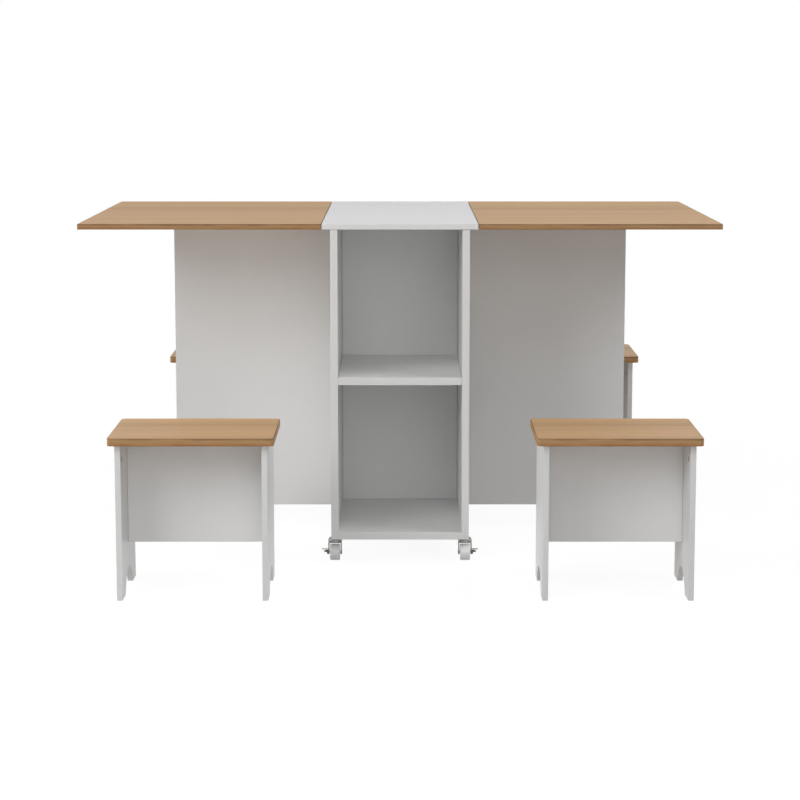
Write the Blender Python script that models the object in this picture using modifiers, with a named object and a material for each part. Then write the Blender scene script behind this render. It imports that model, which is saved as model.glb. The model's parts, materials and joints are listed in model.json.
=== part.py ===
"""Folding dining table on casters with four matching stools, put together as the real set is.

Metres, +Z up. X runs along the opened table top and Y from the front of the set (-Y) to its back.
The origin is on the floor under the middle of the table, which is also the middle of the set.
"""

import math

import bmesh
import bpy
from mathutils import Matrix, Vector

# Fits shared by all pieces
JOINT_GAP = 0.0003
EDGE_EASE = 0.0006
CUT_OVERRUN = 0.002
WELD_STEP = 0.0002
MERGE_DISTANCE = 0.00001

# Table top
TOP_LENGTH = 1.400
TOP_DEPTH = 0.800
TOP_HEIGHT = 0.750
TOP_THICK = 0.012
LEAF_GAP = 0.0012

# Cabinet under the fixed middle of the top
CABINET_WIDTH = 0.304
CABINET_RECESS = 0.002
SIDE_THICK = 0.016
BASE_THICK = 0.016
DIVIDER_THICK = 0.016
SHELF_THICK = 0.0165
SHELF_HEIGHT = 0.4135
CASTER_HEIGHT = 0.052

# Gates that swing out to carry the leaves
GATE_WIDTH = 0.3775
GATE_THICK = 0.012
GATE_FRONT = 0.006
GATE_FLOOR_GAP = 0.052
GATE_END_GAP = 0.0005
GATE_SWING_CLEARANCE = 0.0007
FOLD_CLEARANCE = 0.0004
PAD_LENGTH = 0.040
PAD_END_INSET = 0.006
PAD_SIDE_INSET = 0.0015

# Butt hinges of the leaves and gates
KNUCKLE_RADIUS = 0.0025
PIN_RADIUS = 0.0012
FLAP_THICK = 0.0010
FLAP_SIDE_CLEARANCE = 0.002
LEAF_HINGE_LENGTH = 0.060
LEAF_HINGE_END_INSET = 0.140
GATE_HINGE_LENGTH = 0.070
GATE_FLAP_WIDTH = 0.025
GATE_HINGE_END_INSET = 0.090

# Casters
CASTER_SIDE_INSET = 0.0073
CASTER_END_INSET = 0.045
CASTER_TRAIL = 0.015
WHEEL_RADIUS = 0.018
WHEEL_WIDTH = 0.022
WHEEL_SHOULDER = 0.0015
HUB_RADIUS = 0.011
HUB_RECESS = 0.0012
AXLE_RADIUS = 0.0025
AXLE_HEAD_RADIUS = 0.0045
AXLE_HEAD_THICK = 0.001
FORK_WIDTH = 0.030
FORK_THICK = 0.0025
FORK_TOP_THICK = 0.0025
FORK_TOP_HEIGHT = 0.041
FORK_LIP_DEPTH = 0.0007
FORK_FOOT_RADIUS = 0.0055
DOME_TOP = 0.049
DOME_RIM_RADIUS = 0.0157
DOME_FLAT_RADIUS = 0.008
SPINDLE_RADIUS = 0.004
SPINDLE_LENGTH = 0.036
FLANGE_RADIUS = 0.0085
FLANGE_THICK = 0.0015
RACE_RADIUS = 0.0072
NECK_RADIUS = 0.0035
RIVET_RADIUS = 0.006
RIVET_THICK = 0.0015

# Brake levers on the front casters
LEVER_THICK = 0.0015
LEVER_HUB_RADIUS = 0.0055
LEVER_FORWARD = 0.009
LEVER_WIDTH = 0.012
PEDAL_TOP = 0.0268
PEDAL_ROOT_DEPTH = 0.0083
PEDAL_REACH = 0.013
PEDAL_PLATE_THICK = 0.0011
PEDAL_TOE_REACH = 0.0085
PEDAL_TOE_BOTTOM = 0.0178
PEDAL_TOE_THICK = 0.0014

# Stools
STOOL_HEIGHT = 0.3405
SEAT_WIDTH = 0.340
SEAT_DEPTH = 0.265
SEAT_THICK = 0.016
SEAT_CORNER = 0.0095
LEG_THICK = 0.012
LEG_DEPTH = 0.237
LEG_END_INSET = 0.014
FOOT_LENGTH = 0.054
NOTCH_HEIGHT = 0.046
STRETCHER_THICK = 0.012
STRETCHER_FLOOR_GAP = 0.100
FRONT_STOOL_OUT = 0.3725
REAR_STOOL_OUT = 0.3875
LEFT_STOOL_PLACE = 0.427
RIGHT_STOOL_PLACE = 0.449

# Facets round one turn, and along one rounded corner
ROD_SIDES = 16
HINGE_SIDES = 12
WHEEL_SIDES = 28
NOTCH_SIDES = 64
DOME_STEPS = 4
CORNER_STEPS = 6

# Places worked out from the sizes above
TOP_UNDERSIDE = TOP_HEIGHT - TOP_THICK
HINGE_OFFSET = JOINT_GAP + KNUCKLE_RADIUS
OVERHANG = 2 * HINGE_OFFSET + GATE_THICK + FOLD_CLEARANCE
CENTRE_WIDTH = CABINET_WIDTH + 2 * OVERHANG
CABINET_DEPTH = TOP_DEPTH - 2 * CABINET_RECESS
CABINET_INSIDE = CABINET_WIDTH / 2 - SIDE_THICK
BASE_TOP = CASTER_HEIGHT + BASE_THICK
GATE_REAR = GATE_FRONT + GATE_THICK
GATE_TOP_ROOM = HINGE_OFFSET + KNUCKLE_RADIUS + GATE_SWING_CLEARANCE
GATE_TOP = TOP_UNDERSIDE - GATE_TOP_ROOM
GATE_END = CABINET_WIDTH / 2 + GATE_END_GAP + GATE_WIDTH
LEAF_PIVOT_X = (CENTRE_WIDTH + LEAF_GAP) / 2
LEAF_PIVOT_Z = TOP_UNDERSIDE - HINGE_OFFSET
LEAF_HINGE_Y = TOP_DEPTH / 2 - LEAF_HINGE_END_INSET
LEAF_FLAP_WIDTH = OVERHANG + LEAF_GAP / 2 - FLAP_SIDE_CLEARANCE
GATE_PIVOT_X = CABINET_WIDTH / 2 + HINGE_OFFSET
GATE_PIVOT_Y = GATE_REAR + HINGE_OFFSET
CASTER_X = CABINET_WIDTH / 2 - CASTER_SIDE_INSET
CASTER_Y = CABINET_DEPTH / 2 - CASTER_END_INSET
SPINDLE_HOLE_RADIUS = SPINDLE_RADIUS + JOINT_GAP
FRONT_STOOL_Y = SEAT_DEPTH / 2 - TOP_DEPTH / 2 - FRONT_STOOL_OUT
REAR_STOOL_Y = TOP_DEPTH / 2 + REAR_STOOL_OUT - SEAT_DEPTH / 2
SEAT_UNDERSIDE = STOOL_HEIGHT - SEAT_THICK
LEG_TOP = SEAT_UNDERSIDE - JOINT_GAP
LEG_OUTSIDE = SEAT_WIDTH / 2 - LEG_END_INSET

WHITE_BOARD = ("white_board", (0.82, 0.82, 0.82), 0.45, 0.0)
OAK_BOARD = ("oak_board", (0.50, 0.31, 0.16), 0.6, 0.0)
ZINC_STEEL = ("zinc_steel", (0.45, 0.45, 0.44), 0.3, 1.0)
GREY_TREAD = ("grey_tread", (0.76, 0.755, 0.75), 0.45, 0.0)
BLACK_PLASTIC = ("black_plastic", (0.06, 0.06, 0.06), 0.5, 0.0)

ENDS = {"front": -1, "rear": 1}
SIDES = {"left": -1, "right": 1}


# The scene and its helpers
def clear_scene():
    """Empties the scene and returns a new collection for the parts and one for the cutters."""
    for obj in list(bpy.data.objects):
        bpy.data.objects.remove(obj)
    found = []
    for name in ("dining_set", "cutters"):
        collection = bpy.data.collections.new(name)
        bpy.context.scene.collection.children.link(collection)
        found.append(collection)
    return found


PARTS, CUTTERS = clear_scene()


def material(kind):
    """The shared material of one kind of surface, made on its first use."""
    name, colour, roughness, metallic = kind
    found = bpy.data.materials.get(name)
    if found is None:
        found = bpy.data.materials.new(name)
        found.use_nodes = True
        shader = found.node_tree.nodes["Principled BSDF"]
        shader.inputs["Base Color"].default_value = (*colour, 1.0)
        shader.inputs["Roughness"].default_value = roughness
        shader.inputs["Metallic"].default_value = metallic
        found.diffuse_color = (*colour, 1.0)
    return found


def helper(name, shape):
    """A hidden object that holds a bmesh until it is baked into a part or cut from one."""
    mesh = bpy.data.meshes.new(name)
    shape.to_mesh(mesh)
    shape.free()
    obj = bpy.data.objects.new(name, mesh)
    obj.hide_render = True
    obj.display_type = "WIRE"
    CUTTERS.objects.link(obj)
    return obj


def box(low, high):
    """A box between two opposite corners, given in any order."""
    low, high = Vector(low), Vector(high)
    size = Vector([abs(b - a) for a, b in zip(low, high)])
    shape = bmesh.new()
    bmesh.ops.create_cube(shape, size=1.0)
    bmesh.ops.scale(shape, vec=size, verts=shape.verts)
    bmesh.ops.translate(shape, vec=(low + high) / 2, verts=shape.verts)
    return helper("box", shape)


def rod(radius, start, end, sides=ROD_SIDES):
    """A solid cylinder between the middles of its two ends."""
    start, end = Vector(start), Vector(end)
    along = end - start
    turn = along.to_track_quat("Z", "Y").to_matrix().to_4x4() @ Matrix.Rotation(math.pi / sides, 4, "Z")
    shape = bmesh.new()
    bmesh.ops.create_cone(
        shape, cap_ends=True, segments=sides, radius1=radius, radius2=radius, depth=along.length
    )
    bmesh.ops.transform(shape, matrix=Matrix.Translation((start + end) / 2) @ turn, verts=shape.verts)
    return helper("rod", shape)


def hull(pieces):
    """The tight skin round several helpers, which it uses up."""
    shape = bmesh.new()
    for piece in pieces:
        shape.from_mesh(piece.data)
        bpy.data.objects.remove(piece)
    bmesh.ops.delete(shape, geom=shape.faces[:] + shape.edges[:], context="EDGES_FACES")
    skin = bmesh.ops.convex_hull(shape, input=shape.verts, use_existing_faces=False)
    unused = [item for item in skin["geom_interior"] if isinstance(item, bmesh.types.BMVert)]
    bmesh.ops.delete(shape, geom=unused, context="VERTS")
    bmesh.ops.recalc_face_normals(shape, faces=shape.faces)
    return helper("hull", shape)


def turned(profile, steps):
    """A helper turned about Z from (radius, height) points that run down its outer side."""
    shape = bmesh.new()
    points = [shape.verts.new((radius, 0, height)) for radius, height in profile]
    closed = profile[0][0] > 0
    for first, second in zip(points, points[1:] + points[:1] if closed else points[1:]):
        shape.edges.new((first, second))
    obj = helper("turned", shape)
    screw = obj.modifiers.new("turn", "SCREW")
    screw.steps = screw.render_steps = steps
    screw.use_merge_vertices = True
    screw.merge_threshold = MERGE_DISTANCE
    return obj


def eased(obj):
    """The same object with its sharp edges taken off."""
    bevel = obj.modifiers.new("eased edges", "BEVEL")
    bevel.width = EDGE_EASE
    bevel.segments = 1
    return obj


def combined(base, joins=(), cuts=()):
    """The base with the other helpers joined to it or cut from it."""
    for operation, others in (("UNION", joins), ("DIFFERENCE", cuts)):
        for other in others:
            change = base.modifiers.new(operation.lower(), "BOOLEAN")
            change.operation = operation
            change.object = other
            change.solver = "EXACT"
    return base


def baked(obj, smooth=False):
    """The mesh that an object's modifiers leave, for a piece that has several copies."""
    graph = bpy.context.evaluated_depsgraph_get()
    mesh = bpy.data.meshes.new_from_object(obj.evaluated_get(graph))
    for helper_object in list(CUTTERS.objects):
        bpy.data.objects.remove(helper_object)
    if smooth:
        mesh.shade_smooth()
        mesh.set_sharp_from_angle(angle=math.radians(35))
    return mesh


def world_place(obj):
    """Where an unrotated empty stands in the world, or the origin for no empty."""
    place = Vector()
    while obj:
        place += obj.location
        obj = obj.parent
    return place


def piece(name, mesh, kind, place=(0, 0, 0), parent=None):
    """A named part with its mesh, placed in world space and hung on its parent."""
    obj = bpy.data.objects.new(name, mesh)
    if not mesh.materials:
        mesh.materials.append(material(kind))
    obj.parent = parent
    obj.location = Vector(place) - world_place(parent)
    PARTS.objects.link(obj)
    return obj


def pivot(name, place, parent=None):
    """An empty on a joint's axis that carries everything which that joint moves."""
    obj = bpy.data.objects.new(name, None)
    obj.empty_display_size = KNUCKLE_RADIUS
    obj.parent = parent
    obj.location = Vector(place) - world_place(parent)
    PARTS.objects.link(obj)
    return obj


def centred_board(size):
    """A board of the given size with its origin at its centre and its edges eased."""
    half = Vector(size) / 2
    return eased(box(-half, half))


def board(name, low, high, kind, parent=None):
    """A plain board between two corners, with its origin at its centre."""
    low, high = Vector(low), Vector(high)
    size = [abs(b - a) for a, b in zip(low, high)]
    return piece(name, baked(centred_board(size)), kind, (low + high) / 2, parent)


# Table top and cabinet
def build_top(leaf_pivots):
    half_depth = TOP_DEPTH / 2
    board(
        "centre_top",
        (-CENTRE_WIDTH / 2, -half_depth, TOP_UNDERSIDE),
        (CENTRE_WIDTH / 2, half_depth, TOP_HEIGHT),
        WHITE_BOARD,
    )
    for side_name, side in SIDES.items():
        board(
            side_name + "_leaf",
            (side * (CENTRE_WIDTH / 2 + LEAF_GAP), -half_depth, TOP_UNDERSIDE),
            (side * TOP_LENGTH / 2, half_depth, TOP_HEIGHT),
            OAK_BOARD,
            leaf_pivots[side],
        )


def spindle_holes(top):
    """Upright cutters for the four caster spindles, from below the base up to the given height."""
    return [
        rod(
            SPINDLE_HOLE_RADIUS,
            (side * CASTER_X, end * CASTER_Y, CASTER_HEIGHT - CUT_OVERRUN),
            (side * CASTER_X, end * CASTER_Y, top),
        )
        for side in SIDES.values()
        for end in ENDS.values()
    ]


def build_cabinet():
    half_depth = CABINET_DEPTH / 2
    panel_low, panel_high = BASE_TOP + JOINT_GAP, TOP_UNDERSIDE - JOINT_GAP
    hole_top = CASTER_HEIGHT + SPINDLE_LENGTH + JOINT_GAP
    base = eased(
        box(
            (-CABINET_WIDTH / 2, -half_depth, CASTER_HEIGHT),
            (CABINET_WIDTH / 2, half_depth, BASE_TOP),
        )
    )
    piece("bottom_panel", baked(combined(base, cuts=spindle_holes(hole_top))), WHITE_BOARD)
    for side_name, side in SIDES.items():
        panel = eased(
            box(
                (side * CABINET_INSIDE, -half_depth, panel_low),
                (side * CABINET_WIDTH / 2, half_depth, panel_high),
            )
        )
        mesh = baked(combined(panel, cuts=spindle_holes(hole_top)))
        piece(side_name + "_side_panel", mesh, WHITE_BOARD)
    inside = CABINET_INSIDE - JOINT_GAP
    board(
        "divider_panel",
        (-inside, -DIVIDER_THICK / 2, panel_low),
        (inside, DIVIDER_THICK / 2, panel_high),
        WHITE_BOARD,
    )
    for end_name, end in ENDS.items():
        board(
            end_name + "_shelf",
            (-inside, end * (DIVIDER_THICK / 2 + JOINT_GAP), SHELF_HEIGHT - SHELF_THICK),
            (inside, end * half_depth, SHELF_HEIGHT),
            WHITE_BOARD,
        )


def build_gates(gate_pivots):
    pad_end = GATE_END - PAD_END_INSET
    for side_name, side in SIDES.items():
        board(
            side_name + "_gate",
            (side * (CABINET_WIDTH / 2 + GATE_END_GAP), GATE_FRONT, GATE_FLOOR_GAP),
            (side * GATE_END, GATE_REAR, GATE_TOP),
            WHITE_BOARD,
            gate_pivots[side],
        )
        board(
            side_name + "_gate_pad",
            (side * (pad_end - PAD_LENGTH), GATE_FRONT + PAD_SIDE_INSET, GATE_TOP + JOINT_GAP),
            (side * pad_end, GATE_REAR - PAD_SIDE_INSET, TOP_UNDERSIDE - JOINT_GAP),
            BLACK_PLASTIC,
            gate_pivots[side],
        )


# Hinges
def hinge_half(length, flap_width, carries_pin):
    """Half of a butt hinge, with its pin along Z, its flap towards +X and its back facing +Y.

    The half with the pin has the two outer knuckles and the other one the middle knuckle.
    """
    knuckle = length / 3
    edge = KNUCKLE_RADIUS + JOINT_GAP
    flap = box((0, KNUCKLE_RADIUS - FLAP_THICK, -length / 2), (flap_width, KNUCKLE_RADIUS, length / 2))
    barrel_end = length / 2 - WELD_STEP
    barrel = rod(KNUCKLE_RADIUS, (0, 0, -barrel_end), (0, 0, barrel_end), HINGE_SIDES)
    if carries_pin:
        spaces = [(-knuckle / 2 - JOINT_GAP, knuckle / 2 + JOINT_GAP)]
    else:
        spaces = [(-length / 2 - CUT_OVERRUN, -knuckle / 2), (knuckle / 2, length / 2 + CUT_OVERRUN)]
    outside = KNUCKLE_RADIUS + CUT_OVERRUN
    cuts = [box((-outside, -outside, low), (edge, outside, high)) for low, high in spaces]
    if not carries_pin:
        bore_end = knuckle / 2 + CUT_OVERRUN
        cuts.append(rod(PIN_RADIUS + JOINT_GAP, (0, 0, -bore_end), (0, 0, bore_end), HINGE_SIDES))
        return baked(combined(flap, [barrel], cuts), smooth=True)
    pin_end = (length + KNUCKLE_RADIUS) / 2
    pin = rod(PIN_RADIUS, (0, 0, -pin_end), (0, 0, pin_end), HINGE_SIDES)
    return baked(combined(combined(flap, [barrel], cuts), [pin]), smooth=True)


def hinge_piece(name, mesh, centre, flap_towards, back_towards, parent=None):
    """One hinge half, turned so that its flap and its back face the given ways."""
    obj = piece(name, mesh, ZINC_STEEL, centre, parent)
    along, back = Vector(flap_towards), Vector(back_towards)
    obj.rotation_euler = Matrix((along, back, along.cross(back))).transposed().to_euler()
    return obj


def build_leaf_hinges(leaf_pivots):
    fixed = hinge_half(LEAF_HINGE_LENGTH, LEAF_FLAP_WIDTH, True)
    moving = hinge_half(LEAF_HINGE_LENGTH, LEAF_FLAP_WIDTH, False)
    for side_name, side in SIDES.items():
        for end_name, end in ENDS.items():
            centre = (side * LEAF_PIVOT_X, end * LEAF_HINGE_Y, LEAF_PIVOT_Z)
            name = f"{side_name}_{end_name}_leaf_hinge"
            hinge_piece(name + "_top_half", fixed, centre, (-side, 0, 0), (0, 0, 1))
            hinge_piece(name + "_leaf_half", moving, centre, (side, 0, 0), (0, 0, 1), leaf_pivots[side])


def build_gate_hinges(gate_pivots):
    fixed = hinge_half(GATE_HINGE_LENGTH, GATE_FLAP_WIDTH, True)
    moving = hinge_half(GATE_HINGE_LENGTH, GATE_FLAP_WIDTH, False)
    heights = {
        "lower": GATE_FLOOR_GAP + GATE_HINGE_END_INSET,
        "upper": GATE_TOP - GATE_HINGE_END_INSET,
    }
    for side_name, side in SIDES.items():
        for level, height in heights.items():
            centre = (side * GATE_PIVOT_X, GATE_PIVOT_Y, height)
            name = f"{side_name}_{level}_gate_hinge"
            hinge_piece(name + "_side_half", fixed, centre, (0, 1, 0), (-side, 0, 0))
            hinge_piece(name + "_gate_half", moving, centre, (side, 0, 0), (0, -1, 0), gate_pivots[side])


# Casters, each built about its swivel axis with the floor at zero height
def caster_stem():
    """Spindle, flange, race, neck and rivet head, turned in one piece."""
    top = CASTER_HEIGHT + SPINDLE_LENGTH
    flange_top = CASTER_HEIGHT - JOINT_GAP
    race_low = DOME_TOP + JOINT_GAP
    rivet_top = FORK_TOP_HEIGHT - FORK_TOP_THICK - JOINT_GAP
    profile = [
        (0, top),
        (SPINDLE_RADIUS, top),
        (SPINDLE_RADIUS, flange_top),
        (FLANGE_RADIUS, flange_top),
        (FLANGE_RADIUS, flange_top - FLANGE_THICK),
        (RACE_RADIUS, flange_top - FLANGE_THICK),
        (RACE_RADIUS, race_low),
        (NECK_RADIUS, race_low),
        (NECK_RADIUS, rivet_top),
        (RIVET_RADIUS, rivet_top),
        (RIVET_RADIUS, rivet_top - RIVET_THICK),
        (0, rivet_top - RIVET_THICK),
    ]
    return baked(turned(profile, ROD_SIDES), smooth=True)


def caster_wheel():
    """A wheel about X with its bore, side recesses and rounded shoulders."""
    half = WHEEL_WIDTH / 2
    bore = AXLE_RADIUS + JOINT_GAP
    profile = [
        (bore, half),
        (HUB_RADIUS - HUB_RECESS, half),
        (HUB_RADIUS, half - HUB_RECESS),
        (HUB_RADIUS + HUB_RECESS, half),
        (WHEEL_RADIUS - WHEEL_SHOULDER, half),
        (WHEEL_RADIUS, half - WHEEL_SHOULDER),
        (WHEEL_RADIUS, WHEEL_SHOULDER - half),
        (WHEEL_RADIUS - WHEEL_SHOULDER, -half),
        (HUB_RADIUS + HUB_RECESS, -half),
        (HUB_RADIUS, HUB_RECESS - half),
        (HUB_RADIUS - HUB_RECESS, -half),
        (bore, -half),
    ]
    mesh = baked(turned(profile, WHEEL_SIDES), smooth=True)
    mesh.transform(Matrix.Rotation(math.pi / 2, 4, "Y"))
    return mesh


def race_dome():
    """The fork's domed race housing with a flat crown and a straight rim."""
    rim, under = FORK_TOP_HEIGHT + EDGE_EASE, FORK_TOP_HEIGHT - FORK_TOP_THICK
    across, rise = DOME_RIM_RADIUS - DOME_FLAT_RADIUS, DOME_TOP - rim
    profile = [(0, DOME_TOP)]
    for step in range(DOME_STEPS + 1):
        angle = math.pi / 2 * (1 - step / DOME_STEPS)
        radius = DOME_FLAT_RADIUS + across * math.cos(angle)
        profile.append((radius, rim + rise * math.sin(angle)))
    profile += [(DOME_RIM_RADIUS, under), (0, under)]
    return turned(profile, WHEEL_SIDES)


def caster_fork(trail, lever_side):
    """Dome, two cheeks, front lip and riveted axle; trail is -1 or 1, lever_side -1, 0 or 1."""

    def axle_point(x):
        return x, trail * CASTER_TRAIL, WHEEL_RADIUS

    half, inside, middle = FORK_WIDTH / 2, FORK_WIDTH / 2 - FORK_THICK, (FORK_WIDTH - FORK_THICK) / 2
    top, under = FORK_TOP_HEIGHT, FORK_TOP_HEIGHT - FORK_TOP_THICK
    lip, heel = trail * DOME_RIM_RADIUS, -trail * FORK_FOOT_RADIUS
    step = trail * WELD_STEP
    joins = [
        box((-middle, lip - step, under + WELD_STEP), (middle, heel - step, top - WELD_STEP)),
        box(
            (WELD_STEP - middle, lip, under - FORK_LIP_DEPTH),
            (middle - WELD_STEP, lip - trail * FORK_THICK, top - 2 * WELD_STEP),
        ),
    ]
    axle_reach = {}
    for side in SIDES.values():
        foot = rod(FORK_FOOT_RADIUS, axle_point(side * inside), axle_point(side * half))
        shoulder = box(
            (side * inside, lip - 2 * step, under - FORK_TOP_THICK),
            (side * half, heel, top - 3 * WELD_STEP),
        )
        joins.append(hull([foot, shoulder]))
        lever_room = LEVER_THICK + 2 * JOINT_GAP if side == lever_side else -FORK_THICK / 2
        axle_reach[side] = half + AXLE_HEAD_THICK + max(lever_room, 0)
        head_ends = (axle_point(side * (half + lever_room)), axle_point(side * axle_reach[side]))
        joins.append(rod(AXLE_HEAD_RADIUS, *head_ends))
    axle_ends = [axle_point(side * (end - AXLE_HEAD_THICK / 2)) for side, end in axle_reach.items()]
    joins.append(rod(AXLE_RADIUS, *axle_ends))
    hole = rod(NECK_RADIUS + JOINT_GAP, (0, 0, under - CUT_OVERRUN), (0, 0, DOME_TOP + CUT_OVERRUN))
    return baked(combined(race_dome(), joins, [hole]), smooth=True)


def brake_lever(trail, side):
    """A rocker on the axle's outer end, with a pedal plate and a sloping toe outside it."""
    axle_y = trail * CASTER_TRAIL
    root = FORK_WIDTH / 2 + JOINT_GAP
    face, core = root + LEVER_THICK, root + LEVER_THICK / 2
    pedal_y = axle_y + trail * LEVER_FORWARD
    near, far = pedal_y - trail * LEVER_WIDTH / 2, pedal_y + trail * LEVER_WIDTH / 2
    arm_near, arm_far = near + trail * EDGE_EASE, far - trail * EDGE_EASE
    toe_near = axle_y + trail * (AXLE_HEAD_RADIUS + JOINT_GAP)
    toe_far = arm_far - trail * EDGE_EASE
    arm_low, arm_top = PEDAL_TOP - PEDAL_ROOT_DEPTH, PEDAL_TOP - PEDAL_PLATE_THICK / 2
    hub_ends = [(side * x, axle_y, WHEEL_RADIUS) for x in (root, face)]
    bore_ends = [(side * x, axle_y, WHEEL_RADIUS) for x in (root - CUT_OVERRUN, face + CUT_OVERRUN)]
    hub = rod(LEVER_HUB_RADIUS, *hub_ends)
    cheek = hull([hub, box((side * root, arm_near, arm_low), (side * face, arm_far, arm_top))])
    toe_x = root + PEDAL_TOE_REACH
    toe_low = PEDAL_TOE_BOTTOM
    toe_root = box(
        (side * core, toe_near, arm_low + EDGE_EASE), (side * face, toe_far, arm_top - EDGE_EASE / 2)
    )
    toe_tip = box(
        (side * (toe_x - PEDAL_TOE_THICK), toe_near, toe_low),
        (side * toe_x, toe_far, toe_low + PEDAL_TOE_THICK),
    )
    plate = box(
        (side * (core - EDGE_EASE / 2), near, PEDAL_TOP - PEDAL_PLATE_THICK),
        (side * (root + PEDAL_REACH), far, PEDAL_TOP),
    )
    bore = rod(AXLE_RADIUS + JOINT_GAP, *bore_ends)
    return baked(combined(cheek, [hull([toe_root, toe_tip]), plate], [bore]), smooth=True)


def build_casters():
    stem, wheel = caster_stem(), caster_wheel()
    for end_name, end in ENDS.items():
        for side_name, side in SIDES.items():
            braked = side if end_name == "front" else 0
            place = Vector((side * CASTER_X, end * CASTER_Y, 0))
            axle = place + Vector((0, end * CASTER_TRAIL, WHEEL_RADIUS))
            name = f"{end_name}_{side_name}_caster"
            piece(name + "_stem", stem, ZINC_STEEL, place)
            swivel = pivot(name + "_swivel_axis", place)
            piece(name + "_fork", caster_fork(end, braked), ZINC_STEEL, place, swivel)
            axle_pivot = pivot(name + "_axle_axis", axle, swivel)
            piece(name + "_wheel", wheel, GREY_TREAD, axle, axle_pivot)
            if braked:
                lever_pivot = pivot(name + "_lever_axis", axle, swivel)
                piece(name + "_brake_lever", brake_lever(end, side), BLACK_PLASTIC, place, lever_pivot)


# Stools
def stool_seat():
    """A seat board with rounded plan corners and eased edges."""
    half = Vector((SEAT_WIDTH, SEAT_DEPTH, SEAT_THICK)) / 2
    obj = box(-half, half)
    shape = bmesh.new()
    shape.from_mesh(obj.data)
    upright = [edge for edge in shape.edges if abs(edge.verts[0].co.z - edge.verts[1].co.z) > half.z]
    bmesh.ops.bevel(
        shape, geom=upright, offset=SEAT_CORNER, segments=CORNER_STEPS, profile=0.5, affect="EDGES"
    )
    shape.to_mesh(obj.data)
    shape.free()
    return baked(eased(obj), smooth=True)


def stool_leg():
    """A leg panel standing on two feet either side of an arched notch."""
    half_width = (LEG_DEPTH - 2 * FOOT_LENGTH) / 2
    radius = (half_width**2 + NOTCH_HEIGHT**2) / (2 * NOTCH_HEIGHT)
    middle = NOTCH_HEIGHT - radius
    reach = LEG_THICK / 2 + CUT_OVERRUN
    panel = eased(box((-LEG_THICK / 2, -LEG_DEPTH / 2, 0), (LEG_THICK / 2, LEG_DEPTH / 2, LEG_TOP)))
    notch = rod(radius, (-reach, 0, middle), (reach, 0, middle), NOTCH_SIDES)
    return baked(combined(panel, cuts=[notch]))


def build_stools():
    seat, leg = stool_seat(), stool_leg()
    stretcher_top = SEAT_UNDERSIDE - JOINT_GAP
    stretcher_length = 2 * (LEG_OUTSIDE - LEG_THICK - JOINT_GAP)
    stretcher_height = stretcher_top - STRETCHER_FLOOR_GAP
    stretcher = baked(centred_board((stretcher_length, STRETCHER_THICK, stretcher_height)))
    along = {"front": FRONT_STOOL_Y, "rear": REAR_STOOL_Y}
    across = {"left": -LEFT_STOOL_PLACE, "right": RIGHT_STOOL_PLACE}
    for end_name, y in along.items():
        for side_name, x in across.items():
            name = f"{end_name}_{side_name}_stool"
            base = pivot(name + "_base", (x, y, 0))
            seat_z = STOOL_HEIGHT - SEAT_THICK / 2
            piece(name + "_seat", seat, OAK_BOARD, (x, y, seat_z), base)
            for leg_name, side in SIDES.items():
                leg_x = x + side * (LEG_OUTSIDE - LEG_THICK / 2)
                piece(f"{name}_{leg_name}_leg", leg, WHITE_BOARD, (leg_x, y, 0), base)
            middle = (x, y, stretcher_top - stretcher_height / 2)
            piece(name + "_stretcher", stretcher, WHITE_BOARD, middle, base)


def build():
    leaf_pivots, gate_pivots = {}, {}
    for name, side in SIDES.items():
        leaf_pivots[side] = pivot(name + "_leaf_axis", (side * LEAF_PIVOT_X, 0, LEAF_PIVOT_Z))
        gate_pivots[side] = pivot(name + "_gate_axis", (side * GATE_PIVOT_X, GATE_PIVOT_Y, 0))
    build_top(leaf_pivots)
    build_cabinet()
    build_gates(gate_pivots)
    build_leaf_hinges(leaf_pivots)
    build_gate_hinges(gate_pivots)
    build_casters()
    build_stools()


build()
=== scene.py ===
"""Looks of a folding dining table on casters and its four stools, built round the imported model.

Metres, +Z up. X runs along the opened top and Y from the front of the set (-Y) to its back.
"""

import json
import math

import bmesh
import bpy
from mathutils import Matrix, Vector


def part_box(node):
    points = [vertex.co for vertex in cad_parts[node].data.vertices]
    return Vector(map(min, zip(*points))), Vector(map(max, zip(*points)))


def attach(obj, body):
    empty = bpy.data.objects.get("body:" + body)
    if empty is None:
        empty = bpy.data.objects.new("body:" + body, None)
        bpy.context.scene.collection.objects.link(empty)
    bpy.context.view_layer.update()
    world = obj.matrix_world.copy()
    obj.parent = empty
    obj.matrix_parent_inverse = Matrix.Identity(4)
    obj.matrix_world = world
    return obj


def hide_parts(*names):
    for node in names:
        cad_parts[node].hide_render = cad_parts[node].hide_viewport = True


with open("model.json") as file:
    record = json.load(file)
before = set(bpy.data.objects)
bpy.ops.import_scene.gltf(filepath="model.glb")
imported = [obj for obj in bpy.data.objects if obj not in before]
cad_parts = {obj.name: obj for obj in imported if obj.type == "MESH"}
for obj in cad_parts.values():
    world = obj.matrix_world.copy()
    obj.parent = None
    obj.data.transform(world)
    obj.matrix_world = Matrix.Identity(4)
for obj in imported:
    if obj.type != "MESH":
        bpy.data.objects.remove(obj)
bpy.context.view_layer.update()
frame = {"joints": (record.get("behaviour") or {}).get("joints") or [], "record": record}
BODY_OF = {
    name: body for body, names in frame["record"]["behaviour"]["bodies"].items() for name in names
}
PIVOT_OF = {joint["child"]: Vector(joint["pos_m"]) for joint in frame["joints"] if "pos_m" in joint}
WHEEL_CENTRE = PIVOT_OF["front_left_caster_wheel_body"].z

ENDS = {"front": -1, "rear": 1}
SIDES = {"left": -1, "right": 1}
X_AXIS, Y_AXIS, Z_AXIS = range(3)

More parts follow.
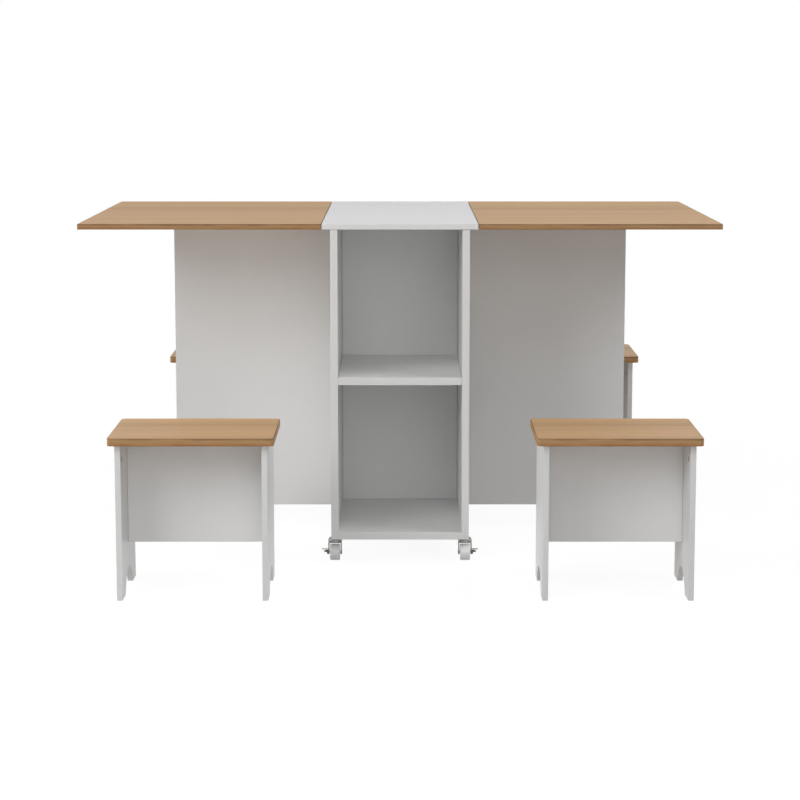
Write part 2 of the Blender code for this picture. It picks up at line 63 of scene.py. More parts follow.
# Turns for a plate drawn in X and Y, whose drawn height then points up: it runs along X, or along Y
STAND_ALONG_X = Matrix(((1, 0, 0, 0), (0, 0, -1, 0), (0, 1, 0, 0), (0, 0, 0, 1)))
STAND_ALONG_Y = Matrix(((0, 0, 1, 0), (1, 0, 0, 0), (0, 1, 0, 0), (0, 0, 0, 1)))

# Camera, placed where the photographed edges meet the model's
LENS_MM = 102.70
SENSOR_MM = 36.0
CAMERA_BACK = 5.347
CAMERA_HEIGHT = 1.102
CAMERA_TILT = math.radians(8.478)

# Boards: telling their broad faces, eased edges, edge tape and glue line, then a stool's seat and legs
BROAD_FACE_SHARE = 0.9
FACING_SHARE = 0.9
BOARD_EASE = 0.0007
SEAT_EASE = 0.0012
EASE_STEPS = 3
TAPE_THICK = 0.0012
GLUE_LINE = 0.0001
SEAT_CORNER = 0.0095
CORNER_STEPS = 18
FOOT_LENGTH = 0.054
NOTCH_HEIGHT = 0.046
NOTCH_STEPS = 48

# Cam fittings in round pockets; a fitting for thin or wide boards has a radius and a depth
CAM_SIDES = 40
CAM_SINK = 0.0004
CAM_FIT = 0.0002
CAM_RIM = 0.0007
CAM_BEVEL_TOP = 2 * CAM_RIM
CAM_BEVEL_MIDDLE = 1.5 * CAM_RIM
CAM_CROSS_INSET = 2.5 * CAM_RIM
CAM_CROSS_WIDTH = 0.0012
CAM_CROSS_DEPTH = 0.0020
THIN_CAM = (0.0062, 0.0095)
WIDE_CAM = (0.0076, 0.0125)
CAM_EDGE_PLACE = 0.0325
STOOL_CAM_SIDE_PLACE = 0.027
CABINET_CAM_SIDE_PLACE = 0.060

# Hinges and their screws
KNUCKLE_RADIUS = 0.0025
PIN_RADIUS = 0.0012
FLAP_THICK = 0.0010
FLAP_CORNER = 0.004
FLAP_CORNER_STEPS = 6
HINGE_SIDES = 32
KNUCKLE_GAP = 0.0003
WELD_STEP = 0.00015
CUT_OVERRUN = 0.002
SCREW_HEAD_RADIUS = 0.0027
SCREW_HEAD_HEIGHT = 0.0006
SCREW_SIDES = 24
SCREW_DOME_END = 0.4
SCREW_FLATNESS = 0.6
CROSS_LENGTH = 0.0032
CROSS_WIDTH = 0.0006
CROSS_DEPTH = 0.0004
# Screws of a hinge's flap, as parts of its width and its length
FLAP_SCREWS = ((0.72, -0.36), (0.50, 0.0), (0.72, 0.36))

# Casters, from the swivel axis and the floor
TURN_SIDES = 64
ROUND_STEPS = 6
CASTER_TRAIL = 0.015
WHEEL_ROUND = 0.0016
HUB_RADIUS = 0.011
HUB_RECESS = 0.0012
HUB_BORE = 0.0028
FORK_THICK = 0.0025
FORK_TOP_THICK = 0.0025
FORK_TOP_HEIGHT = 0.041
FORK_SHOULDER_ROUND = 0.0036
FORK_FOOT_RADIUS = 0.0055
FORK_LIP_DEPTH = 0.0007
FORK_LIP_ROUND = 0.0005
DOME_TOP = 0.049
DOME_RIM_TOP = 0.0416
DOME_RIM_RADIUS = 0.0157
DOME_RIM_STEP = 0.0002
DOME_FLAT_RADIUS = 0.008
DOME_STEPS = 14
AXLE_RADIUS = 0.0025
AXLE_HEAD_RADIUS = 0.0045
AXLE_HEAD_THICK = 0.0010
SPINDLE_RADIUS = 0.004
FLANGE_RADIUS = 0.0085
FLANGE_THICK = 0.0015
RACE_RADIUS = 0.0072
NECK_RADIUS = 0.0035
RIVET_RADIUS = 0.006
RIVET_THICK = 0.0015
CASTER_GAP = 0.0003

# Brake levers
LEVER_THICK = 0.0015
LEVER_HUB_RADIUS = 0.0055
LEVER_FORWARD = 0.009
LEVER_WIDTH = 0.012
LEVER_EASE = 0.0006
PEDAL_TOP = 0.0268
PEDAL_ROOT_DEPTH = 0.0083
PEDAL_REACH = 0.013
PEDAL_PLATE_THICK = 0.0011
PEDAL_TOE_REACH = 0.0085
PEDAL_TOE_BOTTOM = 0.0204
PEDAL_TOE_THICK = 0.0014

MERGE_DISTANCE = 0.000002
SHARP_ANGLE = math.radians(38)
SHARP_EDGE = math.radians(40)
FLAT_ANGLE = math.radians(0.5)

# Patterns: blobs a metre along each axis, detail, then roughness and distortion where they matter
MELAMINE_CLOUDS = ((5.0, 5.0, 5.0), 3.0)
MELAMINE_GLOSS = ((60.0, 60.0, 60.0), 2.0)
MELAMINE_PEARL = ((1400.0, 1400.0, 1400.0), 3.0)
OAK_DRIFT = ((2.5, 6.0, 6.0), 2.0)
OAK_RINGS = ((1.2, 44.0, 44.0), 5.0, 0.65, 0.3)
OAK_FIBRES = ((9.0, 620.0, 620.0), 4.0, 0.65)
OAK_PORES = ((45.0, 1900.0, 1900.0), 1.0)
TAPE_WAVE = ((14.0, 14.0, 90.0), 3.0)
TAPE_FIBRES = ((10.0, 10.0, 420.0), 5.0, 0.7)
SPECKLE_DETAIL = (4.0, 0.6)
BRUSH_DETAIL = (3.0, 0.6)

# Ranges: a pattern between the first two numbers becomes a shift, shade or roughness between the last two
PATTERN_LOW, PATTERN_HIGH = 0.3, 0.7
OAK_DRIFT_SHIFT = (0.25, 0.75, -0.022, 0.022)
OAK_RING_SHADE = (PATTERN_LOW, PATTERN_HIGH, 0.83, 1.12)
OAK_STREAK_SHADE = (PATTERN_LOW, PATTERN_HIGH, 0.90, 1.07)
OAK_PORE_SHADE = (0.62, 0.70, 1.0, 0.80)
OAK_ROUGHNESS = (PATTERN_LOW, PATTERN_HIGH, 0.61, 0.49)
OAK_MEAN_ROUGHNESS = 0.55
TAPE_WAVE_SHIFT = (0.25, 0.75, -0.20, 0.20)
TAPE_STREAK_SHADE = (PATTERN_LOW, PATTERN_HIGH, 0.82, 1.13)
TAPE_ROUGHNESS = (PATTERN_LOW, PATTERN_HIGH, 0.58, 0.46)
TAPE_MEAN_ROUGHNESS = 0.5

# The plainer materials: how dark their darker tone is, where tones lie in the pattern, and gloss as shares
CLOUD_SHADE = 0.975
CLOUD_STOPS = (0.35, 0.65)
SPECKLE_START, SPECKLE_SPAN = 0.35, 0.3
SPECKLE_ROUGHNESS = (0.85, 1.15)
BRUSH_SHADE = 0.90
BRUSH_ROUGHNESS = (0.9, 1.2)

# Reliefs: their depth and strength
MELAMINE_RELIEF = (0.00003, 0.6)
OAK_RELIEF = (0.00012, 0.5)
TAPE_RELIEF = (0.00008, 0.5)
BRUSH_RELIEF = (0.000004, 0.3)
SPECKLE_STRENGTH = 0.6

# Colour bands: their places from 0 to 1 across the face or up the tape, and their colours
OAK_BEIGE, OAK_BROWN, OAK_TAN = (0.546, 0.323, 0.141), (0.473, 0.263, 0.103), (0.491, 0.276, 0.110)
OAK_SAND, OAK_OLIVE, OAK_AMBER = (0.508, 0.290, 0.119), (0.540, 0.329, 0.139), (0.584, 0.317, 0.108)
OAK_BANDS = (
    (0.00, OAK_BEIGE), (0.55, OAK_BEIGE), (0.60, OAK_BROWN), (0.66, OAK_TAN), (0.75, OAK_SAND),
    (0.79, OAK_OLIVE), (0.86, OAK_OLIVE), (0.90, OAK_AMBER), (0.985, OAK_AMBER), (1.00, OAK_BROWN),
)
# Up the tape the colour runs dark at the bottom, lighter through the middle and dark again at the top.
TAPE_BANDS = (
    (0.00, (0.290, 0.128, 0.042)), (0.25, (0.425, 0.205, 0.070)), (0.52, (0.425, 0.250, 0.106)),
    (0.78, (0.385, 0.222, 0.090)), (0.95, (0.250, 0.118, 0.045)),
)

# Sockets of a Mix node that mixes colours
MIX_SHARE, MIX_FIRST, MIX_SECOND = 0, 6, 7
MIX_RESULT = 2


# Materials
def new_material(name, roughness, metallic=0.0):
    """An empty node material and its shader."""
    made = bpy.data.materials.new(name)
    made.use_nodes = True
    shader = made.node_tree.nodes["Principled BSDF"]
    shader.inputs["Roughness"].default_value = roughness
    shader.inputs["Metallic"].default_value = metallic
    return made, made.node_tree, shader


def node(tree, kind, inputs=None, **settings):
    """A new shader node; an input is a socket to link or a value to set."""
    made = tree.nodes.new("ShaderNode" + kind)
    for name, value in settings.items():
        setattr(made, name, value)
    for name, value in (inputs or {}).items():
        if isinstance(value, bpy.types.NodeSocket):
            tree.links.new(value, made.inputs[name])
        else:
            made.inputs[name].default_value = value
    return made


def coordinates(tree, kind="Object", stretch=(1.0, 1.0, 1.0)):
    """Texture coordinates with each axis scaled by itself."""
    place = node(tree, "TexCoord").outputs[kind]
    return node(tree, "Mapping", {"Vector": place, "Scale": stretch}).outputs[0]


def noise(tree, stretch, detail=2.0, rough=0.5, distortion=0.0):
    """A cloud pattern whose scale along each axis is given in blobs a metre."""
    inputs = {"Scale": 1.0, "Detail": detail, "Roughness": rough, "Distortion": distortion}
    made = node(tree, "TexNoise", inputs)
    tree.links.new(coordinates(tree, stretch=stretch), made.inputs["Vector"])
    return made.outputs[0]


def remap(tree, value, low, high, to_low, to_high):
    """A value moved from one range to another and kept inside it."""
    inputs = {"Value": value, "From Min": low, "From Max": high, "To Min": to_low, "To Max": to_high}
    return node(tree, "MapRange", inputs).outputs[0]


def ramp(tree, value, stops):
    """A colour read off a ramp of (place, colour) stops."""
    made = node(tree, "ValToRGB", {0: value})
    points = made.color_ramp.elements
    while len(points) < len(stops):
        points.new(0.5)
    for point, (place, colour) in zip(points, stops):
        point.position = place
        point.color = (*colour, 1.0)
    return made.outputs[0]


def mixed(tree, mode, share, first, second):
    """Two colours mixed; each is a socket or a colour."""
    made = node(tree, "Mix", data_type="RGBA", blend_type=mode)
    for index, value in ((MIX_SHARE, share), (MIX_FIRST, first), (MIX_SECOND, second)):
        if isinstance(value, bpy.types.NodeSocket):
            tree.links.new(value, made.inputs[index])
        elif index == MIX_SHARE:
            made.inputs[index].default_value = value
        else:
            made.inputs[index].default_value = (*value, 1.0)
    return made.outputs[MIX_RESULT]


def bumped(tree, shader, height, distance, strength=1.0):
    """Raises the surface by a height pattern."""
    inputs = {"Height": height, "Distance": distance, "Strength": strength}
    tree.links.new(node(tree, "Bump", inputs).outputs[0], shader.inputs["Normal"])


def melamine(name, tone, rough_low, rough_high):
    """Satin white melamine: a faint pearl texture, cloudy gloss and hardly any colour change."""
    made, tree, shader = new_material(name, rough_low)
    cloud = noise(tree, *MELAMINE_CLOUDS)
    darker = tuple(CLOUD_SHADE * part for part in tone)
    colour = ramp(tree, cloud, list(zip(CLOUD_STOPS, (darker, tone))))
    tree.links.new(colour, shader.inputs["Base Color"])
    gloss = remap(tree, noise(tree, *MELAMINE_GLOSS), PATTERN_LOW, PATTERN_HIGH, rough_low, rough_high)
    tree.links.new(gloss, shader.inputs["Roughness"])
    bumped(tree, shader, noise(tree, *MELAMINE_PEARL), *MELAMINE_RELIEF)
    return made


def oak_face(name, painted_sheen):
    """Oak-look melamine with its grain along X and the slow bands of a few boards across it, with a painted
    sheen added to every band.
    """
    made, tree, shader = new_material(name, OAK_MEAN_ROUGHNESS)
    across = node(tree, "SeparateXYZ", {0: coordinates(tree, "Generated")}).outputs[Y_AXIS]
    drift = remap(tree, noise(tree, *OAK_DRIFT), *OAK_DRIFT_SHIFT)
    place = node(tree, "Math", {0: across, 1: drift}, operation="ADD").outputs[0]
    colour = ramp(tree, place, [(stop, tuple(part + painted_sheen for part in tone)) for stop, tone in OAK_BANDS])
    rings = remap(tree, noise(tree, *OAK_RINGS), *OAK_RING_SHADE)
    fibres = noise(tree, *OAK_FIBRES)
    streaks = remap(tree, fibres, *OAK_STREAK_SHADE)
    pores = remap(tree, noise(tree, *OAK_PORES), *OAK_PORE_SHADE)
    for layer in (rings, streaks, pores):
        colour = mixed(tree, "MULTIPLY", 1.0, colour, layer)
    tree.links.new(colour, shader.inputs["Base Color"])
    tree.links.new(remap(tree, fibres, *OAK_ROUGHNESS), shader.inputs["Roughness"])
    bumped(tree, shader, mixed(tree, "MULTIPLY", 1.0, fibres, pores), *OAK_RELIEF)
    return made


def oak_tape(name, shade):
    """Printed oak edge tape: darker and redder than the face, with its grain along the edge; a copy with a
    lower shade carries painted shade.
    """
    made, tree, shader = new_material(name, TAPE_MEAN_ROUGHNESS)
    height = node(tree, "SeparateXYZ", {0: coordinates(tree, "Generated")}).outputs[Z_AXIS]
    wave = remap(tree, noise(tree, *TAPE_WAVE), *TAPE_WAVE_SHIFT)
    place = node(tree, "Math", {0: height, 1: wave}, operation="ADD").outputs[0]
    bands = [(stop, tuple(shade * part for part in tone)) for stop, tone in TAPE_BANDS]
    fibres = noise(tree, *TAPE_FIBRES)
    streaks = remap(tree, fibres, *TAPE_STREAK_SHADE)
    colour = mixed(tree, "MULTIPLY", 1.0, ramp(tree, place, bands), streaks)
    tree.links.new(colour, shader.inputs["Base Color"])
    tree.links.new(remap(tree, fibres, *TAPE_ROUGHNESS), shader.inputs["Roughness"])
    bumped(tree, shader, fibres, *TAPE_RELIEF)
    return made


def speckled(name, tones, size, roughness, metallic=0.0, bump=0.0):
    """A material of two or three tones in small blobs, for board cores, plastic, rubber and metal."""
    made, tree, shader = new_material(name, roughness, metallic)
    pattern = noise(tree, (size, size, size), *SPECKLE_DETAIL)
    stops = [SPECKLE_START + SPECKLE_SPAN * step / (len(tones) - 1) for step in range(len(tones))]
    tree.links.new(ramp(tree, pattern, list(zip(stops, tones))), shader.inputs["Base Color"])
    gloss = [share * roughness for share in SPECKLE_ROUGHNESS]
    tree.links.new(remap(tree, pattern, PATTERN_LOW, PATTERN_HIGH, *gloss), shader.inputs["Roughness"])
    if bump:
        bumped(tree, shader, pattern, bump, SPECKLE_STRENGTH)
    return made


def brushed(name, tone, roughness, stretch):
    """Plated steel with fine rolling marks."""
    made, tree, shader = new_material(name, roughness, 1.0)
    marks = noise(tree, stretch, *BRUSH_DETAIL)
    dull = tuple(BRUSH_SHADE * part for part in tone)
    colour = ramp(tree, marks, [(PATTERN_LOW, dull), (PATTERN_HIGH, tone)])
    tree.links.new(colour, shader.inputs["Base Color"])
    gloss = [share * roughness for share in BRUSH_ROUGHNESS]
    tree.links.new(remap(tree, marks, PATTERN_LOW, PATTERN_HIGH, *gloss), shader.inputs["Roughness"])
    bumped(tree, shader, marks, *BRUSH_RELIEF)
    return made


WHITE_FACE = melamine("white_face", (0.835, 0.835, 0.831), rough_low=0.38, rough_high=0.46)
WHITE_TAPE = melamine("white_tape", (0.790, 0.790, 0.786), rough_low=0.38, rough_high=0.46)
WHITE_GLUE = melamine("white_glue_line", (0.520, 0.510, 0.490), rough_low=0.60, rough_high=0.70)
OAK_FACE = oak_face("oak_face", painted_sheen=0.0)
# The seats' copy of the oak face is paler: painted sheen, the whitish haze of a satin top seen at a low
# angle.
OAK_SEAT_FACE_PAINTED_SHEEN = oak_face("oak_seat_face_painted_sheen", painted_sheen=0.063)
# One oak tape for leaves and seats: the leaves' darker copy is painted shade on the leaf edges.
LEAF_TAPE_PAINTED_SHADE = oak_tape("oak_tape", shade=0.87)
OAK_SEAT_TAPE = oak_tape("oak_seat_tape", shade=1.02)
OAK_GLUE = speckled("oak_glue_line", [(0.09, 0.05, 0.025), (0.14, 0.08, 0.04)], size=400.0, roughness=0.7)
BOARD_CORE = speckled(
    "particle_board", [(0.17, 0.10, 0.05), (0.36, 0.25, 0.15), (0.48, 0.36, 0.24)],
    size=900.0, roughness=0.85, bump=0.0002,
)
ZINC = brushed("zinc_steel", (0.36, 0.36, 0.35), roughness=0.28, stretch=(900.0, 900.0, 60.0))
# A darker copy of the zinc for the fork's pressing: painted dark reflection of the surroundings its cheeks
# would mirror.
FORK_STEEL_PAINTED_REFLECTION = brushed("fork_steel_painted_reflection", (0.150, 0.148, 0.142), roughness=0.34, stretch=(900.0, 900.0, 60.0))
PIN_STEEL = brushed("screw_steel", (0.62, 0.62, 0.62), roughness=0.28, stretch=(700.0, 700.0, 700.0))
CAM_ZINC = speckled(
    "cam_zinc", [(0.070, 0.070, 0.072), (0.120, 0.120, 0.122)],
    size=900.0, roughness=0.50, metallic=0.6, bump=0.00003,
)
TREAD = speckled(
    "grey_tread", [(0.845, 0.840, 0.835), (0.885, 0.880, 0.875)], size=700.0, roughness=0.45, bump=0.00004
)
HUB = speckled(
    "grey_hub", [(0.560, 0.560, 0.560), (0.600, 0.600, 0.600)], size=500.0, roughness=0.42, bump=0.00003
)
BLACK_PLASTIC = speckled(
    "black_plastic", [(0.050, 0.050, 0.050), (0.075, 0.075, 0.075)],
    size=900.0, roughness=0.42, bump=0.00005,
)

WHITE_BOARD = (WHITE_FACE, WHITE_TAPE, WHITE_GLUE, BOARD_CORE)
OAK_BOARD = (OAK_FACE, LEAF_TAPE_PAINTED_SHADE, OAK_GLUE, BOARD_CORE)
SEAT_BOARD = (OAK_SEAT_FACE_PAINTED_SHEEN, OAK_SEAT_TAPE, OAK_GLUE, BOARD_CORE)
FACE, TAPE, GLUE, CORE = range(4)
# The caster zinc and its darker copy, whose painted dark reflection goes on the fork's pressing.
CASTER_STEELS = (ZINC, FORK_STEEL_PAINTED_REFLECTION)
# Material index of the faces that take the darker copy with its painted dark reflection.
PAINTED_REFLECTION_FACES = 1


# Shapes
def moved(shape, matrix):
    """The same shape after a move or turn."""
    bmesh.ops.transform(shape, matrix=matrix, verts=shape.verts)
    return shape


def box(low, high):
    """A box between two opposite corners, given in any order."""
    low, high = Vector(low), Vector(high)
    size = [abs(b - a) for a, b in zip(low, high)]
    shape = bmesh.new()
    bmesh.ops.create_cube(shape, size=1.0)
    bmesh.ops.scale(shape, vec=size, verts=shape.verts)
    return moved(shape, Matrix.Translation((low + high) / 2))


def eased(shape, width, steps=EASE_STEPS):
    """The same shape with its sharp edges rounded."""
    sharp = [edge for edge in shape.edges if edge.is_manifold and edge.calc_face_angle() > SHARP_EDGE]
    bmesh.ops.bevel(shape, geom=sharp, offset=width, segments=steps, profile=0.5, affect="EDGES")
    return shape


def rod(radius, start, end, sides=HINGE_SIDES):
    """A cylinder between the middles of its two ends, with a flat and not a corner on top."""
    start, end = Vector(start), Vector(end)
    along = end - start
    turn = along.to_track_quat("Z", "Y").to_matrix().to_4x4() @ Matrix.Rotation(math.pi / sides, 4, "Z")
    shape = bmesh.new()
    bmesh.ops.create_cone(
        shape, cap_ends=True, segments=sides, radius1=radius, radius2=radius, depth=along.length
    )
    return moved(shape, Matrix.Translation((start + end) / 2) @ turn)


def turned(profile, steps):
    """A shape turned about Z from (radius, height) points."""
    shape = bmesh.new()
    points = [shape.verts.new((radius, 0.0, height)) for radius, height in profile]
    ends = points[1:] + points[:1] if profile[0][0] > 0 else points[1:]
    edges = [shape.edges.new(pair) for pair in zip(points, ends)]
    bmesh.ops.spin(
        shape, geom=points + edges, cent=(0, 0, 0), axis=(0, 0, 1), angle=math.tau, steps=steps
    )
    bmesh.ops.remove_doubles(shape, verts=shape.verts, dist=MERGE_DISTANCE)
    bmesh.ops.recalc_face_normals(shape, faces=shape.faces)
    return shape


def arc(centre, radius, start, end, steps):
    """Points along an arc, with its angles in quarter turns."""
    angles = [math.pi / 2 * (start + (end - start) * step / steps) for step in range(steps + 1)]
    return [(centre[0] + radius * math.cos(a), centre[1] + radius * math.sin(a)) for a in angles]


def plate(outline, low, high):
    """A flat plate with an outline in X and Y, between two heights."""
    shape = bmesh.new()
    face = shape.faces.new([shape.verts.new((u, v, low)) for u, v in outline])
    pushed = bmesh.ops.extrude_face_region(shape, geom=[face])
    top = [item for item in pushed["geom"] if isinstance(item, bmesh.types.BMVert)]
    bmesh.ops.translate(shape, vec=(0, 0, high - low), verts=top)
    bmesh.ops.recalc_face_normals(shape, faces=shape.faces)
    return shape


def hull(shapes):
    """The tight skin round several shapes, which it uses up."""
    skin = bmesh.new()
    for shape in shapes:
        for vert in shape.verts:
            skin.verts.new(vert.co)
        shape.free()
    made = bmesh.ops.convex_hull(skin, input=skin.verts, use_existing_faces=False)
    unused = [item for item in made["geom_interior"] if isinstance(item, bmesh.types.BMVert)]
    bmesh.ops.delete(skin, geom=unused, context="VERTS")
    bmesh.ops.recalc_face_normals(skin, faces=skin.faces)
    bmesh.ops.dissolve_limit(skin, angle_limit=FLAT_ANGLE, verts=skin.verts, edges=skin.edges)
    return skin


def loose_object(shape, materials):
    """A shape as an object of its own, which uses it up."""
    mesh = bpy.data.meshes.new("shape")
    shape.to_mesh(mesh)
    shape.free()
    for material in materials:
        mesh.materials.append(material)
    obj = bpy.data.objects.new("shape", mesh)
    bpy.context.scene.collection.objects.link(obj)
    return obj


def combined(base, joins=(), limits=(), cuts=(), materials=(ZINC,)):
    """The base with other shapes joined to it, then only what is inside the limits, less the cuts."""
    target = loose_object(base, materials)
    used = [target]
    for operation, others in (("UNION", joins), ("INTERSECT", limits), ("DIFFERENCE", cuts)):
        for other in others:
            used.append(loose_object(other, materials))
            change = target.modifiers.new(operation.lower(), "BOOLEAN")
            change.operation = operation
            change.object = used[-1]
            change.solver = "EXACT"
    graph = bpy.context.evaluated_depsgraph_get()
    result = target.evaluated_get(graph)
    shape = bmesh.new()
    shape.from_mesh(result.to_mesh())
    result.to_mesh_clear()
    for obj in used:
        mesh = obj.data
        bpy.data.objects.remove(obj)
        bpy.data.meshes.remove(mesh)
    return shape


def as_mesh(name, shape, materials):
    """A mesh with its round parts shaded smooth, which uses the shape up."""
    mesh = bpy.data.meshes.new(name)
    shape.to_mesh(mesh)
    shape.free()
    for material in materials:
        mesh.materials.append(material)
    mesh.shade_smooth()
    mesh.set_sharp_from_angle(angle=SHARP_ANGLE)
    return mesh


def piece(name, mesh, body, stands_for=(), place=None):
    """A finished piece that rides on a body and stands for the model's plain nodes."""
    obj = bpy.data.objects.new(name, mesh)
    bpy.context.scene.collection.objects.link(obj)
    if place is not None:
        obj.matrix_world = place
    shading = obj.modifiers.new("even shading", "WEIGHTED_NORMAL")
    shading.keep_sharp = True
    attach(obj, body)
    if stands_for:
        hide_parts(*stands_for)
    return obj


# Boards
def banded(shape, axis, ease):
    """Marks a board's edges as tape, with a hair of glue line round each broad face."""
    largest = max(face.calc_area() for face in shape.faces)
    broad = [face for face in shape.faces if face.calc_area() > BROAD_FACE_SHARE * largest]
    for face in shape.faces:
        face.material_index = TAPE
    bmesh.ops.inset_individual(shape, faces=broad, thickness=max(TAPE_THICK - ease, GLUE_LINE))
    ring = bmesh.ops.inset_individual(shape, faces=broad, thickness=GLUE_LINE)["faces"]
    for face in ring:
        face.material_index = GLUE
    for face in broad:
        face.material_index = FACE
        assert abs(face.normal[axis]) > FACING_SHARE
    return shape


def thin_axis(low, high):
    """The axis along which a board is thinnest."""
    size = high - low
    return min(range(3), key=lambda axis: size[axis])


def pocket(centre, axis, towards, radius, depth):
    """A cutter for a round pocket that opens towards one side of a board."""
    out = Vector([towards if index == axis else 0 for index in range(3)])
    start, end = Vector(centre) + CUT_OVERRUN * out, Vector(centre) - depth * out
    shape = rod(radius, start, end, CAM_SIDES)
    for face in shape.faces:
        face.material_index = CORE
    return shape


def board(node_name, kit, pockets=(), shape=None, ease=BOARD_EASE, place=None):
    """A faced and edged board that stands for a node of the model."""
    low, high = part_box(node_name)
    if shape is None:
        shape = box(low, high)
    shape = banded(eased(shape, ease), thin_axis(low, high), ease)
    if pockets:
        shape = combined(shape, cuts=pockets, materials=kit)
    mesh = as_mesh(node_name + "_board", shape, kit)
    return piece(node_name + "_board", mesh, BODY_OF[node_name], [node_name], place)


def cam_shape(radius):
    """A cam seen from outside, at the origin and facing +Z: a chamfered disc with a cross in it."""
    top, low = -CAM_SINK, -CAM_SINK - 2 * CAM_CROSS_DEPTH
    profile = [(0, top), (radius - CAM_BEVEL_TOP, top), (radius - CAM_BEVEL_MIDDLE, top + CAM_RIM / 4)]
    profile += [(radius - CAM_RIM, top), (radius, top - CAM_RIM), (radius, low), (0, low)]
    reach = radius - CAM_CROSS_INSET
    cuts = []
    for long, wide in ((reach, CAM_CROSS_WIDTH / 2), (CAM_CROSS_WIDTH / 2, reach)):
        cuts.append(box((-long, -wide, top - CAM_CROSS_DEPTH), (long, wide, top + CAM_RIM)))
    return combined(turned(profile, CAM_SIDES), cuts=cuts, materials=(CAM_ZINC,))


def facing(centre, direction):
    """The place of a fitting at a point, with its +Z turned to a direction."""
    turn = Vector(direction).to_track_quat("Z", "Y").to_matrix().to_4x4()
    return Matrix.Translation(Vector(centre)) @ turn


def fittings(name, shape, places, body, material):
    """Several equal fittings of one board or hinge half as one piece."""
    group = bmesh.new()
    mesh = bpy.data.meshes.new(name + "_one")
    shape.to_mesh(mesh)
    for place in places:
        before = len(group.verts)
        group.from_mesh(mesh)
        group.verts.ensure_lookup_table()
        bmesh.ops.transform(group, matrix=place, verts=group.verts[before:])
    bpy.data.meshes.remove(mesh)
    return piece(name, as_mesh(name, group, (material,)), body)


def cammed_board(node_name, centres, axis, towards, cam, shape=None):
    """A white board with cam fittings in the pockets of one side."""
    radius, depth = cam
    pockets = [pocket(centre, axis, towards, radius, depth) for centre in centres]
    board(node_name, WHITE_BOARD, pockets, shape)
    out = [towards if index == axis else 0 for index in range(3)]
    places = [facing(centre, out) for centre in centres]
    fitting = cam_shape(radius - CAM_FIT)
    fittings(node_name + "_cams", fitting, places, BODY_OF[node_name], CAM_ZINC)
    fitting.free()


def screw_shape():
    """A pan-head screw seen from outside, at the origin and facing +Z."""
    dome = arc((0, -2 * SCREW_HEAD_HEIGHT), 3 * SCREW_HEAD_HEIGHT, 1, SCREW_DOME_END, ROUND_STEPS)
    rim_radius, rim_height = dome[-1]
    scale, rim = SCREW_HEAD_RADIUS / rim_radius, SCREW_HEAD_HEIGHT / 3
    profile = [(scale * max(u, 0), (v - rim_height) * SCREW_FLATNESS + rim) for u, v in dome]
    profile += [(SCREW_HEAD_RADIUS, -rim), (0, -rim)]
    top = profile[0][1]
    profile[0] = (0, top)
    cuts = []
    for long, wide in ((CROSS_LENGTH / 2, CROSS_WIDTH / 2), (CROSS_WIDTH / 2, CROSS_LENGTH / 2)):
        cuts.append(box((-long, -wide, top - CROSS_DEPTH), (long, wide, top + CROSS_DEPTH)))
    return combined(turned(profile, SCREW_SIDES), cuts=cuts, materials=(PIN_STEEL,))


def screws(name, places, body):
    """The screw heads of a hinge half as one piece."""
    shape = screw_shape()
    fittings(name, shape, places, body, PIN_STEEL)
    shape.free()


def build_table_boards():
    """The top, leaves, gates and the cabinet, with the cams that hold the cabinet together."""
    board("centre_top", WHITE_BOARD)
    board("bottom_panel", WHITE_BOARD)
    for side_name, side in SIDES.items():
        board(side_name + "_leaf", OAK_BOARD)
        board(side_name + "_gate", WHITE_BOARD)
        name = side_name + "_side_panel"
        low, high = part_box(name)
        inside = high.x if side < 0 else low.x
        centres = [
            (inside, end * (high.y - CABINET_CAM_SIDE_PLACE), high.z - CAM_EDGE_PLACE)
            for end in ENDS.values()
        ]
        cammed_board(name, centres, X_AXIS, -side, WIDE_CAM)
    for end_name, end in ENDS.items():
        name = end_name + "_shelf"
        low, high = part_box(name)
        middle, reach = (low.y + high.y) / 2, (high.y - low.y) / 2 - CABINET_CAM_SIDE_PLACE
        centres = [
            (side * (high.x - CAM_EDGE_PLACE), middle + step * reach, low.z)
            for side in SIDES.values()
            for step in (-1, 1)
        ]
        cammed_board(name, centres, Z_AXIS, -1, WIDE_CAM)
    name = "divider_panel"
    low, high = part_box(name)
    centres = [
        (side * (high.x - CAM_EDGE_PLACE), high.y, height)
        for side in SIDES.values()
        for height in (low.z + CABINET_CAM_SIDE_PLACE, high.z - CABINET_CAM_SIDE_PLACE)
    ]
    cammed_board(name, centres, Y_AXIS, 1, WIDE_CAM)


def build_gate_pads():
    """The moulded pads on the gates that the leaves rest on."""
    for side_name in SIDES:
        name = side_name + "_gate_pad"
        low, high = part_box(name)
        mesh = as_mesh(name + "_moulding", eased(box(low, high), BOARD_EASE), (BLACK_PLASTIC,))
        piece(name + "_moulding", mesh, BODY_OF[name], [name])


# Stools
def seat_outline(half_x, half_y):
    """A rectangle with rounded corners, as points round its edge."""
    points = []
    corners = ((1, 1, 0), (-1, 1, 1), (-1, -1, 2), (1, -1, 3))
    for across, along, quarter in corners:
        centre = (across * (half_x - SEAT_CORNER), along * (half_y - SEAT_CORNER))
        points += arc(centre, SEAT_CORNER, quarter, quarter + 1, CORNER_STEPS)
    return points


def leg_outline(half_depth, top):
    """Two feet and the arch between them, in Y and Z."""
    half_width = half_depth - FOOT_LENGTH
    radius = (half_width**2 + NOTCH_HEIGHT**2) / (2 * NOTCH_HEIGHT)
    middle = NOTCH_HEIGHT - radius
    start = math.asin(-middle / radius) / (math.pi / 2)
    notch = arc((0, middle), radius, 2 - start, start, NOTCH_STEPS)
    return [(-half_depth, 0), *notch, (half_depth, 0), (half_depth, top), (-half_depth, top)]


